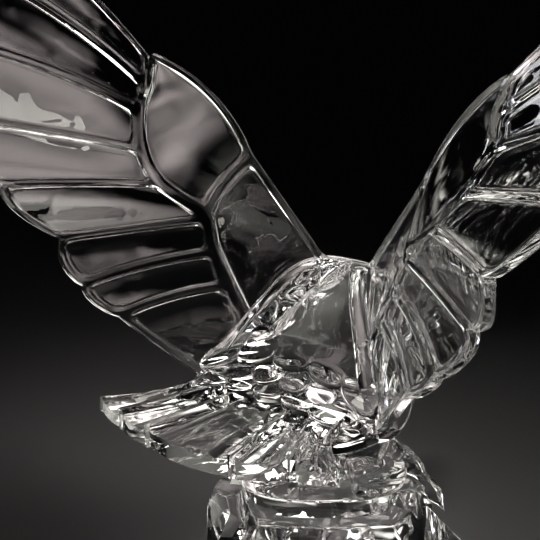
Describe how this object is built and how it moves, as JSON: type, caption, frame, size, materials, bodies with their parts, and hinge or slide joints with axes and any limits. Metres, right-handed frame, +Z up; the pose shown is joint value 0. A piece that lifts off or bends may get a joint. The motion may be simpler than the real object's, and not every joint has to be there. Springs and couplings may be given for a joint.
{
  "type": "crystal eagle sculpture",
  "caption": "Clear cast glass eagle with raised, spread wings and a fanned tail, perched on a faceted glass rock with a flat underside.",
  "frame": {"origin": "centre of the rock's flat underside, on the surface it stands on", "axes": "+Z up, the bird faces -Y, its left wing reaches out to +X and its tail to +Y"},
  "size_m": [0.3164, 0.1739, 0.2692],
  "materials": {
    "clear_crystal": "fire-polished clear lead crystal"
  },
  "bodies": {
    "root": {"crystal_eagle": "clear_crystal"}
  },
  "joints": []
}
